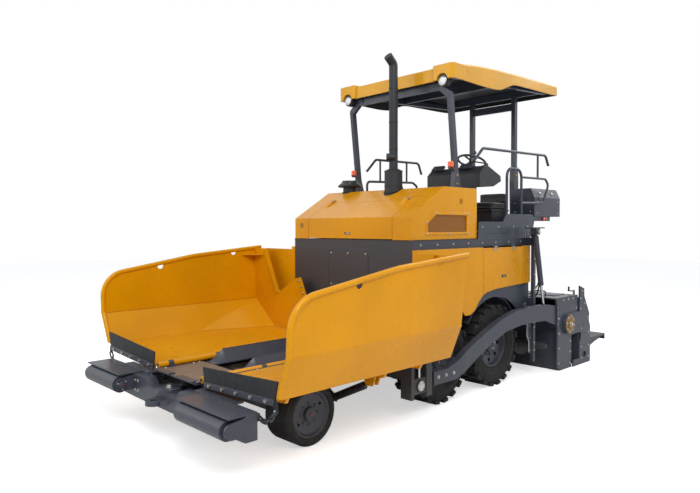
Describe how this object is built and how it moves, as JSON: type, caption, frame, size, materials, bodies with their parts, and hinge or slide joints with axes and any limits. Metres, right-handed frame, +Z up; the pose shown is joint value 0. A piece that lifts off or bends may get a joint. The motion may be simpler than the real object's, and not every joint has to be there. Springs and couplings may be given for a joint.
{
  "type": "wheeled asphalt paver",
  "caption": "Wheeled asphalt paver with a folding hopper, push rollers, engine hood, operator's platform under a canopy, spreading augers and an extending screed.",
  "frame": {"origin": "centre of the bounding box on the ground", "axes": "+X forward to the push rollers, +Y to the left of the machine, +Z up"},
  "size_m": [6.634, 3.4018, 3.9598],
  "materials": {
    "yellow_paint": "gloss",
    "slate_paint": "satin",
    "black_paint": "satin",
    "tyre_rubber": "matte",
    "chrome_rod": "polished",
    "apron_rubber": "matte",
    "seat_vinyl": "matte",
    "grille_mesh": "satin",
    "lamp_plastic": "gloss",
    "desk_plastic": "matte",
    "roof_plastic": "gloss",
    "worn_steel": "worn",
    "auger_steel": "satin"
  },
  "bodies": {
    "chassis": {"air_intake": "black_paint", "body_shell": "slate_paint", "canopy_frame": "slate_paint", "canopy_roof": "roof_plastic", "console": "desk_plastic", "conveyor": "worn_steel", "deck": "slate_paint", "engine": "black_paint", "exhaust": "black_paint", "front_axle": "slate_paint", "front_beam": "slate_paint", "handrails": "slate_paint", "hood_grilles": "grille_mesh", "hood_shell": "yellow_paint", "hopper_centre": "worn_steel", "lamps": "lamp_plastic", "main_frame": "slate_paint", "rear_boxes": "slate_paint", "seat_base": "black_paint", "seat_cushion": "seat_vinyl", "side_panels": "yellow_paint", "tandem_cases": "slate_paint"},
    "auger_left": {"auger_left": "auger_steel"},
    "auger_right": {"auger_right": "auger_steel"},
    "extension_left": {"extension_left": "slate_paint"},
    "extension_right": {"extension_right": "slate_paint"},
    "front_wheel_left": {"front_wheel_left": "tyre_rubber"},
    "front_wheel_right": {"front_wheel_right": "tyre_rubber"},
    "hood_door": {"hood_door": "yellow_paint"},
    "knuckle_left": {"knuckle_left": "slate_paint"},
    "knuckle_right": {"knuckle_right": "slate_paint"},
    "lift_barrel_left": {"lift_barrel_left": "slate_paint"},
    "lift_barrel_right": {"lift_barrel_right": "slate_paint"},
    "lift_rod_left": {"lift_rod_left": "chrome_rod"},
    "lift_rod_right": {"lift_rod_right": "chrome_rod"},
    "mid_wheel_left": {"mid_wheel_left": "tyre_rubber"},
    "mid_wheel_right": {"mid_wheel_right": "tyre_rubber"},
    "push_roller_left": {"push_roller_left": "slate_paint"},
    "push_roller_right": {"push_roller_right": "slate_paint"},
    "rear_wheel_left": {"rear_wheel_left": "tyre_rubber"},
    "rear_wheel_right": {"rear_wheel_right": "tyre_rubber"},
    "screed": {"screed": "slate_paint", "tow_arms": "slate_paint"},
    "side_door_left": {"side_door_left": "yellow_paint"},
    "side_door_right": {"side_door_right": "yellow_paint"},
    "steering_wheel": {"steering_wheel": "desk_plastic"},
    "tie_rod": {"tie_rod": "slate_paint"},
    "tow_slide_left": {"tow_slide_left": "slate_paint"},
    "tow_slide_right": {"tow_slide_right": "slate_paint"},
    "wing_barrel_left": {"wing_barrel_left": "black_paint"},
    "wing_barrel_right": {"wing_barrel_right": "black_paint"},
    "wing_left": {"wing_left": "yellow_paint", "apron_left": "apron_rubber"},
    "wing_right": {"wing_right": "yellow_paint", "apron_right": "apron_rubber"},
    "wing_rod_left": {"wing_rod_left": "chrome_rod"},
    "wing_rod_right": {"wing_rod_right": "chrome_rod"}
  },
  "joints": [
    {"name": "steer_left", "type": "hinge", "parent": "chassis", "child": "knuckle_left", "pos_m": [2.235, 0.622, 0.28], "axis": [0, 0, 1], "range_deg": [-30, 30]},
    {"name": "front_wheel_left_spin", "type": "hinge", "parent": "knuckle_left", "child": "front_wheel_left", "pos_m": [2.235, 0.875, 0.28], "axis": [0, 1, 0], "continuous": true},
    {"name": "mid_wheel_left_spin", "type": "hinge", "parent": "chassis", "child": "mid_wheel_left", "pos_m": [0.4, 0.9, 0.49], "axis": [0, 1, 0], "continuous": true},
    {"name": "rear_wheel_left_spin", "type": "hinge", "parent": "chassis", "child": "rear_wheel_left", "pos_m": [-0.66, 0.9, 0.49], "axis": [0, 1, 0], "continuous": true},
    {"name": "push_roller_left_spin", "type": "hinge", "parent": "chassis", "child": "push_roller_left", "pos_m": [3.237, 0.9, 0.432], "axis": [0, 1, 0], "continuous": true},
    {"name": "auger_left_spin", "type": "hinge", "parent": "chassis", "child": "auger_left", "pos_m": [-1.7, 0.6, 0.345], "axis": [0, 1, 0], "continuous": true},
    {"name": "wing_left_fold", "type": "hinge", "parent": "chassis", "child": "wing_left", "pos_m": [1.9, 0.4, 0.6], "axis": [1, 0, 0], "range_deg": [0, 45]},
    {"name": "wing_barrel_left_swing", "type": "hinge", "parent": "chassis", "child": "wing_barrel_left", "pos_m": [1.647, 0.65, 0.23], "axis": [1, 0, 0], "range_deg": [0, 40.06]},
    {"name": "wing_rod_left_stroke", "type": "slide", "parent": "wing_barrel_left", "child": "wing_rod_left", "axis": [0, 0.9041, 0.4274], "range_m": [0, 0.33547]},
    {"name": "side_door_left_open", "type": "hinge", "parent": "chassis", "child": "side_door_left", "pos_m": [-0.88, 1.036, 1.676], "axis": [1, 0, 0], "range_deg": [0, 80]},
    {"name": "tow_slide_left_level", "type": "slide", "parent": "chassis", "child": "tow_slide_left", "axis": [0, 0, 1], "range_m": [0, 0.06]},
    {"name": "extension_left_reach", "type": "slide", "parent": "screed", "child": "extension_left", "axis": [0, 1, 0], "range_m": [0, 1]},
    {"name": "lift_barrel_left_swing", "type": "hinge", "parent": "chassis", "child": "lift_barrel_left", "pos_m": [-1.348, 1.19, 1.85], "axis": [0, 1, 0], "range_deg": [-0.258, 0]},
    {"name": "lift_rod_left_stroke", "type": "slide", "parent": "lift_barrel_left", "child": "lift_rod_left", "axis": [-0.2231, 0, -0.9748], "range_m": [-0.18195, 0]},
    {"name": "steer_right", "type": "hinge", "parent": "chassis", "child": "knuckle_right", "pos_m": [2.235, -0.622, 0.28], "axis": [0, 0, 1], "range_deg": [-30, 30]},
    {"name": "front_wheel_right_spin", "type": "hinge", "parent": "knuckle_right", "child": "front_wheel_right", "pos_m": [2.235, -0.875, 0.28], "axis": [0, 1, 0], "continuous": true},
    {"name": "mid_wheel_right_spin", "type": "hinge", "parent": "chassis", "child": "mid_wheel_right", "pos_m": [0.4, -0.9, 0.49], "axis": [0, 1, 0], "continuous": true},
    {"name": "rear_wheel_right_spin", "type": "hinge", "parent": "chassis", "child": "rear_wheel_right", "pos_m": [-0.66, -0.9, 0.49], "axis": [0, 1, 0], "continuous": true},
    {"name": "push_roller_right_spin", "type": "hinge", "parent": "chassis", "child": "push_roller_right", "pos_m": [3.237, -0.9, 0.432], "axis": [0, 1, 0], "continuous": true},
    {"name": "auger_right_spin", "type": "hinge", "parent": "chassis", "child": "auger_right", "pos_m": [-1.7, -0.6, 0.345], "axis": [0, 1, 0], "continuous": true},
    {"name": "wing_right_fold", "type": "hinge", "parent": "chassis", "child": "wing_right", "pos_m": [1.9, -0.4, 0.6], "axis": [-1, 0, 0], "range_deg": [0, 45]},
    {"name": "wing_barrel_right_swing", "type": "hinge", "parent": "chassis", "child": "wing_barrel_right", "pos_m": [1.647, -0.65, 0.23], "axis": [-1, 0, 0], "range_deg": [0, 40.06]},
    {"name": "wing_rod_right_stroke", "type": "slide", "parent": "wing_barrel_right", "child": "wing_rod_right", "axis": [0, -0.9041, 0.4274], "range_m": [0, 0.33547]},
    {"name": "side_door_right_open", "type": "hinge", "parent": "chassis", "child": "side_door_right", "pos_m": [-0.88, -1.036, 1.676], "axis": [-1, 0, 0], "range_deg": [0, 80]},
    {"name": "tow_slide_right_level", "type": "slide", "parent": "chassis", "child": "tow_slide_right", "axis": [0, 0, 1], "range_m": [0, 0.06]},
    {"name": "extension_right_reach", "type": "slide", "parent": "screed", "child": "extension_right", "axis": [0, -1, 0], "range_m": [0, 1]},
    {"name": "lift_barrel_right_swing", "type": "hinge", "parent": "chassis", "child": "lift_barrel_right", "pos_m": [-1.348, -1.19, 1.85], "axis": [0, 1, 0], "range_deg": [-0.258, 0]},
    {"name": "lift_rod_right_stroke", "type": "slide", "parent": "lift_barrel_right", "child": "lift_rod_right", "axis": [-0.2231, 0, -0.9748], "range_m": [-0.18195, 0]},
    {"name": "screed_lift", "type": "hinge", "parent": "tow_slide_left", "child": "screed", "pos_m": [0.98, 0, 0.336], "axis": [0, 1, 0], "range_deg": [0, 4]},
    {"name": "hood_door_open", "type": "hinge", "parent": "chassis", "child": "hood_door", "pos_m": [0.472, 0, 2.242], "axis": [0, -1, 0], "range_deg": [0, 70]},
    {"name": "steering_wheel_turn", "type": "hinge", "parent": "chassis", "child": "steering_wheel", "pos_m": [-0.955, 0.5, 2.765], "axis": [-0.36, 0, 0.933], "range_deg": [-540, 540]},
    {"name": "tie_rod_shift", "type": "slide", "parent": "chassis", "child": "tie_rod", "axis": [0, 1, 0], "range_m": [-0.08011, 0.08011]}
  ],
  "couplings": [
    {"joint": "wing_barrel_left_swing", "follows": "wing_left_fold", "ratio": 0.89024},
    {"joint": "wing_rod_left_stroke", "follows": "wing_left_fold", "m_per_rad": 0.42714},
    {"joint": "lift_barrel_left_swing", "follows": "screed_lift", "ratio": -0.064429},
    {"joint": "lift_rod_left_stroke", "follows": "screed_lift", "m_per_rad": -2.6062},
    {"joint": "wing_barrel_right_swing", "follows": "wing_right_fold", "ratio": 0.89024},
    {"joint": "wing_rod_right_stroke", "follows": "wing_right_fold", "m_per_rad": 0.42714},
    {"joint": "lift_barrel_right_swing", "follows": "screed_lift", "ratio": -0.064429},
    {"joint": "lift_rod_right_stroke", "follows": "screed_lift", "m_per_rad": -2.6062},
    {"joint": "tie_rod_shift", "follows": "steer_left", "m_per_rad": -0.153},
    {"joint": "steer_right", "follows": "steer_left", "ratio": 1},
    {"joint": "steering_wheel_turn", "follows": "steer_left", "ratio": 18},
    {"joint": "tow_slide_right_level", "follows": "tow_slide_left_level", "ratio": 1}
  ]
}
